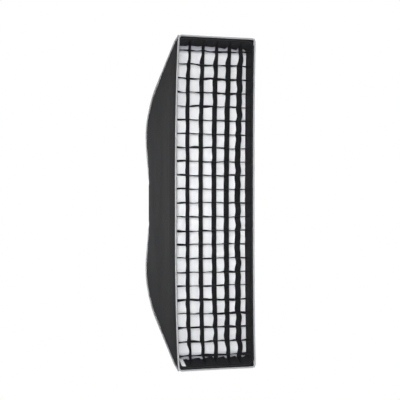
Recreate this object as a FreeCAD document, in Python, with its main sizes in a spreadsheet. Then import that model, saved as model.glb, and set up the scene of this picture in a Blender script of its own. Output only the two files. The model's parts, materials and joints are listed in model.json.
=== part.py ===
"""Strip softbox on a turning speed ring, with an egg-crate grid, as separate sub-parts.

The row frame: the origin is the centre of the light's opening on the bayonet's seat plane, +Y points
to the light, -Y is where the softbox shines, and +Z runs along its long side. Millimetres.
"Forward" below means towards -Y, and "depth" is counted from the front rim back towards the light.
"""
import FreeCAD, Part
import math
import os
import Sketcher

Vector = FreeCAD.Vector
Rotation = FreeCAD.Rotation
Placement = FreeCAD.Placement

SIZES = [
    # shell of coated nylon
    ("face_width", 300, "front rim, across, outside of the fabric"),
    ("face_height", 1200, "front rim, along, outside of the fabric"),
    ("shell_depth", 490, "front rim to the shell's rear opening"),
    ("rear_bend_height", 276, "half height where the rods leave their rear run"),
    ("rear_bend_step", 28, "that bend's distance in front of the rear opening"),
    ("rear_bend_radius", 225, "how tightly the rods spring there"),
    ("front_bend_height", 396, "half height where the rods enter their front run"),
    ("front_bend_step", 141, "that bend's distance in front of the rear opening"),
    ("front_bend_radius", 550, "how tightly the rods spring there"),
    ("fabric_thickness", 1.0, "shell, lip and collar fabric"),
    ("lining_thickness", 0.6, "silver lining"),
    ("sewn_gap", 0.3, "clearance between layers that are sewn or laid together"),
    ("piping_diameter", 6, "welt on the seams and round the rim"),
    ("piping_rear_trim", 9, "how far the seam piping stops short of the rear opening"),
    ("rim_corner_radius", 16, "front rim's rounded corners"),
    # recessed front
    ("lip_depth", 60, "recessed lip behind the rim"),
    ("lip_taper", 10, "how far the side lips lean in over their depth"),
    ("tape_width", 18, "hook and loop tape"),
    ("tape_thickness", 1.2, "hook and loop tape"),
    ("grid_tape_depth", 6, "front edge of the grid's tape"),
    ("diffuser_tape_depth", 33, "front edge of the diffuser's tape"),
    ("diffuser_thickness", 0.6, "diffuser sheet"),
    ("cell_size", 50, "nominal cell of the grid"),
    ("grid_front_depth", 4, "front edge of the grid"),
    ("grid_depth", 44, "depth of the grid's strips"),
    ("strip_thickness", 1.2, "fabric strips of the grid"),
    ("slot_clearance", 0.3, "each side of a strip in another strip's slot"),
    ("label_width", 16, "sewn label tab"),
    ("label_length", 34, "sewn label tab"),
    ("label_gap", 4, "between the label and the grid's outer upright"),
    # inner baffle
    ("baffle_depth", 260, "front face of the inner baffle"),
    ("baffle_width", 190, "inner baffle, across"),
    ("baffle_height", 680, "inner baffle, along"),
    ("strap_width", 12, "baffle strap"),
    ("strap_lap", 22, "how far a strap lies on the baffle"),
    ("strap_pitch", 300, "distance between neighbouring straps"),
    ("press_stud_radius", 6, "press stud on a strap"),
    ("press_stud_height", 1.6, "press stud on a strap"),
    # rods
    ("rod_diameter", 4, "sprung steel rod"),
    ("rod_entry", 50, "how far a rod goes in past the rear opening"),
    ("rod_front_trim", 12, "how far a rod stops short of the rim"),
    ("cap_length", 14, "vinyl cap on the front end of a rod"),
    ("cap_wall", 0.5, "vinyl cap"),
    ("pocket_length", 45, "corner pocket that holds a rod's end"),
    ("pocket_wall", 0.7, "corner pocket"),
    ("keeper_length", 22, "fabric keeper that holds a rod to its seam"),
    ("keeper_place", 110, "first keeper's distance from the rim"),
    ("keeper_pitch", 95, "distance between neighbouring keepers"),
    ("slip_clearance", 0.1, "between a shaft, screw or rod and its hole"),
    # speed ring
    ("neck_wall", 9, "bayonet ring's neck, which the speed ring turns on"),
    ("running_clearance", 0.08, "between turning or sliding metal parts"),
    ("hub_wall", 12, "speed ring's hub round the neck"),
    ("hub_length", 20, "speed ring's hub"),
    ("plate_thickness", 6, "speed ring's plate"),
    ("plate_side_margin", 8.4, "plate beyond the hub, across"),
    ("plate_end_margin", 14.4, "plate beyond the hub, along"),
    ("plate_corner_radius", 12, "speed ring's plate"),
    ("plate_gap", 0.6, "between the plate and the collar round it"),
    ("socket_width", 10, "rod socket"),
    ("socket_length", 32, "rod socket, along the rod"),
    ("socket_depth", 19.5, "rod socket, forward of the plate"),
    ("opening_step", 10, "shell's rear opening, forward of the plate"),
    ("socket_screw_pitch", 20, "two screws in each socket"),
    ("socket_end_wall", 2, "metal left behind the rod's end"),
    ("socket_screw_radius", 2, "M4"),
    ("socket_screw_reach", 5, "how far the screw goes into the socket"),
    ("socket_head_radius", 3.6, "countersunk flush in the plate"),
    ("socket_head_height", 2.6, "countersunk flush in the plate"),
    # bayonet ring
    ("light_opening_radius", 45, "clear opening for the light"),
    ("flange_step", 10, "seat flange beyond the neck"),
    ("flange_thickness", 4, "seat flange"),
    ("spigot_wall", 4, "spigot that enters the light's bayonet"),
    ("spigot_length", 12, "spigot behind the seat"),
    ("lug_step", 5.5, "three lugs beyond the spigot"),
    ("lug_width", 22, "each lug, along the circle"),
    ("lug_thickness", 4, "each lug"),
    ("axial_play", 0.5, "end play of the speed ring on the bayonet ring"),
    ("retainer_step", 7, "retaining ring beyond the neck"),
    ("retainer_thickness", 3, "retaining ring"),
    ("retainer_bore_step", 0.5, "its bore's radius, wider than the light's opening"),
    ("retainer_screw_count", 6, "retaining screws"),
    ("retainer_screw_radius", 1.5, "M3"),
    ("retainer_screw_reach", 8, "how far the screw goes into the neck"),
    ("retainer_head_radius", 2.8, "pan head"),
    ("retainer_head_height", 2.2, "pan head"),
    # collar and lock
    ("elastic_diameter", 3, "elastic binding round the hub"),
    ("lock_stud_radius", 3, "M6"),
    ("lock_place", 12.5, "lock's axis, forward of the seat plane"),
    ("lock_stud_length", 28, "lock stud"),
    ("lock_knob_radius", 8, "lock knob"),
    ("lock_knob_height", 16, "lock knob"),
    ("lock_knob_gap", 5, "between the hub and the knob when locked"),
    ("lock_grip_radius", 1.6, "grooves round the knob"),
    ("lock_grip_count", 10, "grooves round the knob"),
]

LONG_SIDES = (("left", -1), ("right", 1))
SHORT_SIDES = (("bottom", -1), ("top", 1))
CORNERS = [(upright + "_" + side, x, z) for upright, z in SHORT_SIDES for side, x in LONG_SIDES]

os.makedirs("parts", exist_ok=True)
doc = FreeCAD.newDocument("strip_softbox")
sheet = doc.addObject("Spreadsheet::Sheet", "sizes")
for row, (alias, number, meaning) in enumerate(SIZES, start=1):
    sheet.set("A%d" % row, meaning)
    sheet.set("B%d" % row, str(number))
    sheet.setAlias("B%d" % row, alias)
doc.recompute()

subparts = []


def size(alias):
    """The number in the sheet's cell of that alias."""
    return float(sheet.get(alias))


def name_part(thing, label):
    """Give an object its node name and keep it for the export."""
    thing.Label = label
    subparts.append(thing)
    return thing


# ---------------------------------------------------------------- shared places

FABRIC = size("fabric_thickness")
GAP = size("sewn_gap")
LINING = size("lining_thickness")
PLATE_FRONT = -(size("flange_thickness") + size("axial_play") / 2 + size("hub_length")
                + size("plate_thickness"))
OPENING_Y = PLATE_FRONT - size("opening_step")
RIM_Y = OPENING_Y - size("shell_depth")
ROD_INSET = FABRIC + LINING + size("rod_diameter") / 2 + 4 * GAP
LAYER = FABRIC + GAP
NECK = size("light_opening_radius") + size("neck_wall")
HUB = NECK + size("hub_wall")
OPENING_HALF_WIDTH = HUB + size("plate_side_margin") + size("plate_gap") + FABRIC
OPENING_HALF_HEIGHT = HUB + size("plate_end_margin") + size("plate_gap") + FABRIC

# The same places for expressions, as distances forward of the seat plane.
HUB_BACK = "(sizes.flange_thickness + sizes.axial_play / 2)"
PLATE_BACK = "(sizes.flange_thickness + sizes.axial_play / 2 + sizes.hub_length)"
PLATE_FACE = "(sizes.flange_thickness + sizes.axial_play / 2 + sizes.hub_length + sizes.plate_thickness)"
NECK_END = "(sizes.flange_thickness + sizes.axial_play + sizes.hub_length + sizes.plate_thickness)"
SPIGOT_RADIUS = "(sizes.light_opening_radius + sizes.spigot_wall)"
NECK_RADIUS = "(sizes.light_opening_radius + sizes.neck_wall)"
HUB_RADIUS = "(sizes.light_opening_radius + sizes.neck_wall + sizes.hub_wall)"
SCREW_CIRCLE = "(sizes.light_opening_radius + sizes.neck_wall / 2)"


# ---------------------------------------------------------------- helpers for sketches and bodies

def origin_feature(body, role):
    """A body's own origin plane or axis."""
    return next(f for f in body.Origin.OriginFeatures if f.Role == role)


def new_body(label):
    return name_part(doc.addObject("PartDesign::Body", label), label)


def new_sketch(body, name, role, forward=None):
    """A sketch on an origin plane; forward is an expression for its distance along the normal."""
    sketch = body.newObject("Sketcher::SketchObject", name)
    sketch.AttachmentSupport = [(origin_feature(body, role), "")]
    sketch.MapMode = "FlatFace"
    if forward:
        sketch.setExpression("AttachmentOffset.Base.z", forward)
    return sketch


def pin_point(sketch, geometry, point, across, up):
    """Fix a point of the sketch at two expressions from the origin."""
    for kind, expression in (("DistanceX", across), ("DistanceY", up)):
        index = sketch.addConstraint(Sketcher.Constraint(kind, -1, 1, geometry, point, 1.0))
        sketch.setExpression("Constraints[%d]" % index, expression)


def draw_outline(sketch, corners):
    """A closed outline through corners, each a pair of expressions."""
    count = len(corners)
    spread = [Vector(40 * math.cos(2 * math.pi * i / count), 40 * math.sin(2 * math.pi * i / count), 0)
              for i in range(count)]
    for i in range(count):
        sketch.addGeometry(Part.LineSegment(spread[i], spread[(i + 1) % count]), False)
    for i in range(count):
        sketch.addConstraint(Sketcher.Constraint("Coincident", i, 2, (i + 1) % count, 1))
    for i, (across, up) in enumerate(corners):
        pin_point(sketch, i, 1, across, up)


def draw_circle(sketch, radius, across=None, up=None):
    """A circle of that radius expression, at the origin or at two expressions from it."""
    circle = sketch.addGeometry(Part.Circle(Vector(5, 5, 0), Vector(0, 0, 1), 3), False)
    index = sketch.addConstraint(Sketcher.Constraint("Radius", circle, 3.0))
    sketch.setExpression("Constraints[%d]" % index, radius)
    if across is None:
        sketch.addConstraint(Sketcher.Constraint("Coincident", circle, 3, -1, 1))
    else:
        pin_point(sketch, circle, 3, across, up)


def add_pad(body, name, sketch, length):
    pad = body.newObject("PartDesign::Pad", name)
    pad.Profile = sketch
    pad.setExpression("Length", length)
    doc.recompute()
    return pad


def add_pocket(body, name, sketch, length, forward=True):
    """Cut along the sketch's normal (forward) or against it, and make sure that it cuts."""
    before = body.Shape.Volume
    pocket = body.newObject("PartDesign::Pocket", name)
    pocket.Profile = sketch
    pocket.Reversed = forward
    pocket.setExpression("Length", length)
    doc.recompute()
    if body.Shape.Volume >= before:
        raise RuntimeError(name + " cuts nothing")
    return pocket


def repeat_round(body, name, feature, role, count):
    """Repeat a feature round one of the body's own axes; count is an expression."""
    pattern = body.newObject("PartDesign::PolarPattern", name)
    pattern.Originals = [feature]
    pattern.Axis = (origin_feature(body, role), [""])
    pattern.Angle = 360
    pattern.setExpression("Occurrences", count)
    body.Tip = pattern
    doc.recompute()
    return pattern


def turn_profile(body, name, corners):
    """Revolve an outline of (radius, place along Y) expressions about the Y axis."""
    sketch = new_sketch(body, name + "_profile", "XY_Plane")
    draw_outline(sketch, corners)
    turned = body.newObject("PartDesign::Revolution", name)
    turned.Profile = sketch
    turned.ReferenceAxis = (sketch, ["V_Axis"])
    turned.Angle = 360
    doc.recompute()
    return turned


def cylinder(name, start, direction, radius, length):
    """A cylinder from start along direction; radius and length are expressions."""
    piece = doc.addObject("Part::Cylinder", name)
    piece.setExpression("Radius", radius)
    piece.setExpression("Height", length)
    piece.Placement = Placement(start, Rotation(Vector(0, 0, 1), direction))
    return piece


def boolean(kind, name, base, tool):
    result = doc.addObject(kind, name)
    result.Base = base
    result.Tool = tool
    return result


def gather(label, members):
    """One node that holds several separate solids."""
    group = doc.addObject("Part::Compound", label)
    group.Links = members
    return name_part(group, label)


def sewn(label, shape):
    """A fabric piece, whose shape is worked out below from the sheet."""
    piece = doc.addObject("Part::Feature", label)
    piece.Shape = shape
    piece.Placement = Placement()
    return name_part(piece, label)


# ---------------------------------------------------------------- the seam line that the rods follow

ARC_SHARE = 0.48                 # of a straight run, the most that the bend at one end may take


def width_at(height):
    """Half the shell's width at a height on the seam, seen from the front: a straight line."""
    share = (height - OPENING_HALF_HEIGHT) / (size("face_height") / 2 - OPENING_HALF_HEIGHT)
    return OPENING_HALF_WIDTH + share * (size("face_width") / 2 - OPENING_HALF_WIDTH)


def seam_outline():
    """Knots of the seam in side view, as (height, y), from the rear opening to the rim."""
    return [
        (OPENING_HALF_HEIGHT, OPENING_Y),
        (size("rear_bend_height"), OPENING_Y - size("rear_bend_step")),
        (size("front_bend_height"), OPENING_Y - size("front_bend_step")),
        (size("face_height") / 2, RIM_Y),
    ]


def move_out(outline, distance):
    """The outline moved outwards by a distance, measured square to its runs."""
    normals = []
    for (z1, y1), (z2, y2) in zip(outline, outline[1:]):
        length = math.hypot(z2 - z1, y2 - y1)
        normals.append(((y1 - y2) / length, (z2 - z1) / length))
    moved = []
    for i, (z, y) in enumerate(outline):
        a = normals[max(i - 1, 0)]
        b = normals[min(i, len(normals) - 1)]
        scale = distance / (1 + a[0] * b[0] + a[1] * b[1])
        moved.append((z + scale * (a[0] + b[0]), y + scale * (a[1] + b[1])))
    return moved


def seam_knots(side=0.0, out=0.0, rear_trim=0.0, front_trim=0.0):
    """Knots of a line beside the seam: side moves it outwards in X, out square to the end panels."""
    heights = [z for z, y in seam_outline()]
    moved = move_out(seam_outline(), out)
    knots = [Vector(width_at(z) + side, y, moved_z) for z, (moved_z, y) in zip(heights, moved)]
    knots[0] = knots[0] + (knots[1] - knots[0]).normalize() * rear_trim
    knots[-1] = knots[-1] + (knots[-2] - knots[-1]).normalize() * front_trim
    return knots


def seam_wire(side=0.0, out=0.0, rear_trim=0.0, front_trim=0.0):
    """Straight runs joined by tangent arcs, each arc limited by the runs that it joins."""
    knots = seam_knots(side, out, rear_trim, front_trim)
    radii = [size("rear_bend_radius") + out, size("front_bend_radius") + out]
    edges = []
    here = knots[0]
    for before, knot, after, radius in zip(knots, knots[1:], knots[2:], radii):
        back, ahead = before - knot, after - knot
        half_angle = back.getAngle(ahead) / 2
        longest = ARC_SHARE * min(back.Length, ahead.Length)
        reach = min(radius / math.tan(half_angle), longest)
        back.normalize()
        ahead.normalize()
        start, end = knot + back * reach, knot + ahead * reach
        turn_radius = reach * math.tan(half_angle)
        middle_way = (back + ahead).normalize()
        middle = knot + middle_way * (turn_radius / math.sin(half_angle) - turn_radius)
        edges.append(Part.LineSegment(here, start).toShape())
        edges.append(Part.Arc(start, middle, end).toShape())
        here = end
    edges.append(Part.LineSegment(here, knots[-1]).toShape())
    return Part.Wire(edges)


def mirrored(shape, x, z):
    """The shape of the top right corner, moved to the corner of signs x and z."""
    result = shape.copy()
    if x < 0:
        result = result.mirror(Vector(), Vector(1, 0, 0))
    if z < 0:
        result = result.mirror(Vector(), Vector(0, 0, 1))
    return result


def at_corner(point, x, z):
    return Vector(point.x * x, point.y, point.z * z)


def sheet_between(first, second, thickness):
    """A sheet ruled between two matching wires, given its thickness along a vector."""
    slabs = []
    for edge, other in zip(first.Edges, second.Edges):
        slabs.append(Part.makeRuledSurface(edge, other).extrude(thickness))
    return slabs[0].fuse(slabs[1:]).removeSplitter()


def front_run(depth):
    """Half width and half height of the shell's front run at a depth behind the rim."""
    knots = seam_knots()
    share = depth / (knots[-2].y - knots[-1].y)
    point = knots[-1] + (knots[-2] - knots[-1]) * share
    return point.x, point.z


END_SLOPE = math.hypot(1, (front_run(1)[1] - front_run(0)[1]))


# ---------------------------------------------------------------- shell

# About square to every run of the right side panel and of the top panel, towards the inside.
RIGHT_PANEL_INWARD = Vector(-1.0, -0.5, 0)
TOP_PANEL_INWARD = Vector(0, -0.9, -0.63)


def inward(side, end, thickness):
    """Thickness vector of a long side (side) or short end (end) panel."""
    if side:
        return at_corner(RIGHT_PANEL_INWARD, side, 1) * thickness
    return at_corner(TOP_PANEL_INWARD, 1, end) * thickness


def make_shell():
    for name, x in LONG_SIDES:
        seam = mirrored(seam_wire(), x, 1)
        sewn("panel_" + name, sheet_between(seam, mirrored(seam, 1, -1), inward(x, 0, FABRIC)))
    for name, z in SHORT_SIDES:
        seam = mirrored(seam_wire(side=-LAYER), 1, z)
        sewn("panel_" + name, sheet_between(seam, mirrored(seam, -1, 1), inward(0, z, FABRIC)))


def behind_lip(shape):
    """The part of a shape that lies behind the lip."""
    reach = size("face_height")
    start = RIM_Y + size("lip_depth") + GAP
    keep = Part.makeBox(2 * reach, reach, 2 * reach, Vector(-reach, start, -reach))
    return shape.common(keep)


def make_linings():
    for name, x in LONG_SIDES:
        seam = mirrored(seam_wire(side=-LAYER, out=-LAYER), x, 1)
        cloth = sheet_between(seam, mirrored(seam, 1, -1), inward(x, 0, LINING))
        sewn("lining_" + name, behind_lip(cloth))
    for name, z in SHORT_SIDES:
        seam = mirrored(seam_wire(side=-LAYER - LINING - GAP, out=-LAYER), 1, z)
        cloth = sheet_between(seam, mirrored(seam, -1, 1), inward(0, z, LINING))
        sewn("lining_" + name, behind_lip(cloth))


def sweep_round(label, path, radius):
    """A round bar of that radius expression along a wire."""
    spine = doc.addObject("Part::Feature", label + "_path")
    spine.Shape = path
    first = path.OrderedEdges[0]
    start = path.OrderedVertexes[0].Point
    direction = first.tangentAt(first.getParameterByLength(0))
    section = doc.addObject("Part::Circle", label + "_section")
    section.setExpression("Radius", radius)
    section.Placement = Placement(start, Rotation(Vector(0, 0, 1), direction))
    sweep = doc.addObject("Part::Sweep", label)
    sweep.Sections = [section]
    sweep.Spine = (spine, [])
    sweep.Solid = True
    return name_part(sweep, label)


# The seam piping's stand-off from the corner of the panels, shared between sideways and outwards.
PIPING_SIDE_SHARE = 0.7
PIPING_OUT_SHARE = 0.85


def make_piping():
    stand_off = size("piping_diameter") / 2 + GAP
    side, out = PIPING_SIDE_SHARE * stand_off, PIPING_OUT_SHARE * stand_off
    for name, x, z in CORNERS:
        path = seam_wire(side, out, rear_trim=size("piping_rear_trim"))
        sweep_round("seam_piping_" + name, mirrored(path, x, z), "sizes.piping_diameter / 2")
    half_width = (size("face_width") - FABRIC) / 2
    half_height = (size("face_height") - FABRIC) / 2
    y = RIM_Y - FABRIC - stand_off
    radius = size("rim_corner_radius")
    edges = []
    for x, z, turn in ((1, 1, 0), (-1, 1, 90), (-1, -1, 180), (1, -1, 270)):
        centre = Vector(x * (half_width - radius), y, z * (half_height - radius))
        ways = [Rotation(Vector(0, 1, 0), -turn - step).multVec(Vector(1, 0, 0)) for step in (0, 45, 90)]
        corner = [centre + way * radius for way in ways]
        if edges:
            edges.append(Part.LineSegment(edges[-1].lastVertex().Point, corner[0]).toShape())
        edges.append(Part.Arc(*corner).toShape())
    last, first = edges[-1].lastVertex().Point, edges[0].firstVertex().Point
    edges.append(Part.LineSegment(last, first).toShape())
    sweep_round("rim_piping", Part.Wire(edges), "sizes.piping_diameter / 2")


# ---------------------------------------------------------------- recessed front

def plate(corners, thickness):
    """A flat piece through four corners, given its thickness along a vector."""
    outline = Part.makePolygon(list(corners) + [corners[0]])
    return Part.Face(outline).extrude(thickness)


def strip(depths, front_ends, rear_ends, thickness):
    """A flat piece from its front edge to its rear edge, whose ends are given as (x, z)."""
    ends = list(front_ends) + list(reversed(rear_ends))
    places = [depths[0], depths[0], depths[1], depths[1]]
    return plate([Vector(x, RIM_Y + depth, z) for depth, (x, z) in zip(places, ends)], thickness)


def lip_x(depth, inset=0.0):
    """Outer face of the side lips at a depth, less an inset."""
    return front_run(0)[0] - LAYER - size("lip_taper") * depth / size("lip_depth") - inset


def lip_z(depth, inset=0.0):
    """Outer face of the end lips at a depth, less an inset square to it."""
    return front_run(depth)[1] - (LAYER + inset) * END_SLOPE


def pocket_room():
    """How far the rods' corner pockets reach in from the shell, with a clearance."""
    pocket = size("rod_diameter") / 2 + 2 * size("slip_clearance") + size("cap_wall") + size("pocket_wall")
    return ROD_INSET + pocket + 2 * GAP


def side_band(x, front, rear, inset, thickness):
    """A band against a side lip, between two depths, clear of the corner pockets."""
    heights = [front_run(d)[1] - pocket_room() * END_SLOPE for d in (front, rear)]
    places = [lip_x(d, inset) * x for d in (front, rear)]
    edges = [[(place, -height), (place, height)] for place, height in zip(places, heights)]
    return strip((front, rear), *edges, Vector(-x * thickness, 0, 0))


def end_band(z, front, rear, inset, thickness):
    """A band against an end lip, between two depths, clear of the corner pockets."""
    widths = [min(front_run(d)[0] - pocket_room(), lip_x(d, room_inset())) for d in (front, rear)]
    heights = [lip_z(d, inset) * z for d in (front, rear)]
    edges = [[(-width, height), (width, height)] for width, height in zip(widths, heights)]
    return strip((front, rear), *edges, Vector(0, 0, -z * thickness * END_SLOPE))


def room_inset():
    """Everything that lies on a lip: the lip, its tape, the hook border and the gaps between."""
    return FABRIC + 2 * size("tape_thickness") + 3 * GAP


def four_bands(front, rear, inset, thickness):
    bands = [side_band(x, front, rear, inset, thickness) for side, x in LONG_SIDES]
    return bands + [end_band(z, front, rear, inset, thickness) for end, z in SHORT_SIDES]


def make_lips_and_tapes():
    front, rear = GAP, size("lip_depth")
    for name, x in LONG_SIDES:
        sewn("lip_" + name, side_band(x, front, rear, 0, FABRIC))
    for name, z in SHORT_SIDES:
        sewn("lip_" + name, end_band(z, front, rear, 0, FABRIC))
    tape = size("tape_thickness")
    for owner in ("grid", "diffuser"):
        start = size(owner + "_tape_depth")
        end = start + size("tape_width")
        sewn(owner + "_loop_tape", Part.makeCompound(four_bands(start, end, LAYER, tape)))
        hooks = four_bands(start, end, LAYER + tape + GAP, tape)
        sewn(owner + "_hook_border", Part.makeCompound(hooks))


def make_diffuser():
    depth = size("diffuser_tape_depth") + size("tape_width") + GAP
    under_border = LAYER + size("tape_thickness") + GAP
    half_width = lip_x(depth, under_border)
    half_height = lip_z(depth, under_border)
    corner = Vector(-half_width, RIM_Y + depth, -half_height)
    cloth = Part.makeBox(2 * half_width, size("diffuser_thickness"), 2 * half_height, corner)
    for name, x, z in CORNERS:
        reach = pocket_room() - ROD_INSET
        room = Part.makeCylinder(reach, 2 * size("lip_depth"), rod_point(x, z, 0), rod_way(x, z))
        cloth = cloth.cut(room)
    sewn("diffuser_sheet", cloth)


def slots(front, depth, crossings):
    """Cutters for the half-lap slots of one strip: crossings are (centre, size) boxes."""
    return [Part.makeBox(dx, depth, dz, Vector(cx - dx / 2, RIM_Y + front, cz - dz / 2))
            for cx, cz, dx, dz in crossings]


def make_grid():
    """Uprights fan in towards the back with the lips; crosspieces stand square to the face."""
    front = size("grid_front_depth")
    rear = front + size("grid_depth")
    middle = (front + rear) / 2
    thick = size("strip_thickness")
    clear = size("slot_clearance")
    columns = round(size("face_width") / size("cell_size"))
    rows = round(size("face_height") / size("cell_size"))
    inset = room_inset() + thick / 2
    edge_x = [lip_x(d, inset) for d in (front, rear)]
    middle_x = (edge_x[0] + edge_x[1]) / 2
    edge_z = lip_z(front, inset)
    fan = [2 * i / columns - 1 for i in range(columns + 1)]
    ladder = [edge_z * (2 * i / rows - 1) for i in range(1, rows)]
    ladder = [z for z in ladder if abs(z) < lip_z(rear, room_inset() + 2 * thick)]
    lean = abs(edge_x[0] - edge_x[1])

    crosspieces = []
    for z in ladder:
        ends = [x - thick - GAP for x in edge_x]
        edges = [[(-end, z - thick / 2), (end, z - thick / 2)] for end in ends]
        piece = strip((front, rear), *edges, Vector(0, 0, thick))
        cuts = [(share * middle_x, z, thick + 2 * clear + abs(share) * lean, 3 * thick)
                for share in fan[1:-1]]
        crosspieces.append(piece.cut(slots(middle - clear, size("grid_depth"), cuts)))
    for name, z in SHORT_SIDES:
        crosspieces.append(end_band(z, front, rear, room_inset(), thick))
    sewn("grid_crosspieces", Part.makeCompound(crosspieces))

    uprights = []
    heights = [lip_z(d, room_inset() + thick + GAP) for d in (front, rear)]
    for share in fan[1:-1]:
        places = [share * x - thick / 2 for x in edge_x]
        edges = [[(place, -height), (place, height)] for place, height in zip(places, heights)]
        piece = strip((front, rear), *edges, Vector(thick, 0, 0))
        cuts = [(share * middle_x, z, 6 * thick + lean, thick + 2 * clear) for z in ladder]
        uprights.append(piece.cut(slots(middle + clear - size("grid_depth"), size("grid_depth"), cuts)))
    for name, x in LONG_SIDES:
        uprights.append(side_band(x, front, rear, room_inset(), thick))
    sewn("grid_uprights", Part.makeCompound(uprights))

    start = front + (size("grid_depth") - size("label_length")) / 2
    depths = (start, start + size("label_length"))
    outer = -lip_x(depths[1], room_inset() + thick) + size("label_gap")
    label_edges = []
    for depth in depths:
        height = -lip_z(depth, room_inset() + thick + GAP)
        label_edges.append([(outer, height), (outer + size("label_width"), height)])
    sewn("label_tab", strip(depths, *label_edges, Vector(0, 0, LINING * END_SLOPE)))


# ---------------------------------------------------------------- inner baffle

def make_baffle():
    y = RIM_Y + size("baffle_depth")
    baffle = doc.addObject("Part::Box", "baffle_sheet")
    baffle.setExpression("Length", "sizes.baffle_width")
    baffle.setExpression("Width", "sizes.fabric_thickness")
    baffle.setExpression("Height", "sizes.baffle_height")
    baffle.Placement.Base = Vector(-size("baffle_width") / 2, y, -size("baffle_height") / 2)
    name_part(baffle, "baffle_sheet")
    wall = front_run(size("baffle_depth"))[0] - LAYER - LINING - 2 * GAP
    inner = size("baffle_width") / 2 - size("strap_lap")
    strap_y = y + FABRIC
    straps, studs = [], []
    for side, x in LONG_SIDES:
        for step in (-1, 0, 1):
            z = step * size("strap_pitch")
            name = "%s_%d" % (side, step + 2)
            strap = doc.addObject("Part::Box", "strap_" + name)
            strap.Length = wall - inner
            strap.setExpression("Width", "sizes.lining_thickness")
            strap.setExpression("Height", "sizes.strap_width")
            low = inner if x > 0 else -wall
            strap.Placement.Base = Vector(low, strap_y, z - size("strap_width") / 2)
            straps.append(strap)
            place = Vector(x * (inner + size("strap_lap") / 2), strap_y + LINING, z)
            studs.append(cylinder("stud_" + name, place, Vector(0, 1, 0),
                                  "sizes.press_stud_radius", "sizes.press_stud_height"))
    gather("baffle_straps", straps)
    gather("baffle_press_studs", studs)


# ---------------------------------------------------------------- rods and what holds them

def rod_way(x, z):
    """Direction of a rod's front run, from the rim backwards."""
    knots = seam_knots(-ROD_INSET, -ROD_INSET)
    return at_corner((knots[-2] - knots[-1]).normalize(), x, z)


def rod_point(x, z, distance):
    """A point on a rod's front run, at a distance back from the rim."""
    return at_corner(seam_knots(-ROD_INSET, -ROD_INSET)[-1], x, z) + rod_way(x, z) * distance


def tube_on_rod(name, x, z, place, length, bore, wall):
    """A tube round a rod's front run; the last three are expressions."""
    start = rod_point(x, z, place)
    outer = cylinder(name + "_outside", start, rod_way(x, z), bore + " + " + wall, length)
    hole_start = start - rod_way(x, z) * (size("keeper_length") / 2)
    inner = cylinder(name + "_bore", hole_start, rod_way(x, z), bore, length + " + 2 * sizes.keeper_length")
    return boolean("Part::Cut", name, outer, inner)


def closed_tube_on_rod(name, x, z, place, length, bore, wall):
    """The same with its front end closed by a wall."""
    start = rod_point(x, z, place)
    outer = cylinder(name + "_outside", start, rod_way(x, z), bore + " + " + wall, length)
    inner = cylinder(name + "_bore", start, rod_way(x, z), bore, length)
    inner.Placement.Base = rod_point(x, z, place + size("pocket_wall") + size("cap_wall"))
    return boolean("Part::Cut", name, outer, inner)


def make_rods():
    caps, pockets, keepers = [], [], []
    cap_front = size("rod_front_trim") - size("pocket_wall") - size("cap_wall") - size("slip_clearance")
    pocket_front = cap_front - size("pocket_wall") - size("cap_wall") - GAP
    cap_bore = "sizes.rod_diameter / 2 + sizes.slip_clearance"
    pocket_bore = "sizes.rod_diameter / 2 + 2 * sizes.slip_clearance + sizes.cap_wall"
    for name, x, z in CORNERS:
        path = seam_wire(-ROD_INSET, -ROD_INSET, -size("rod_entry"), size("rod_front_trim"))
        sweep_round("rod_" + name, mirrored(path, x, z), "sizes.rod_diameter / 2")
        caps.append(closed_tube_on_rod("cap_" + name, x, z, cap_front, "sizes.cap_length",
                                       cap_bore, "sizes.cap_wall"))
        pockets.append(closed_tube_on_rod("pocket_" + name, x, z, pocket_front, "sizes.pocket_length",
                                          pocket_bore, "sizes.pocket_wall"))
        for step in range(2):
            place = size("keeper_place") + step * size("keeper_pitch")
            keepers.append(tube_on_rod("keeper_%s_%d" % (name, step + 1), x, z, place,
                                       "sizes.keeper_length", cap_bore, "sizes.cap_wall"))
    gather("rod_caps", caps)
    gather("corner_pockets", pockets)
    gather("rod_keepers", keepers)


# ---------------------------------------------------------------- speed ring

def socket_line():
    """Where the top right rod lies in its socket: its rear end and its direction outwards."""
    knots = seam_knots(-ROD_INSET, -ROD_INSET, -size("rod_entry"))
    return knots[0], (knots[1] - knots[0]).normalize()


def socket_screw_places():
    """Centres of the two screws of the top right socket, in X and Z."""
    end, way = socket_line()
    flat = Vector(way.x, 0, way.z).normalize()
    centre = Vector(end.x, 0, end.z) + flat * (size("socket_length") / 2 - size("socket_end_wall"))
    return [centre + flat * (step * size("socket_screw_pitch") / 2) for step in (-1, 1)]


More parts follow.
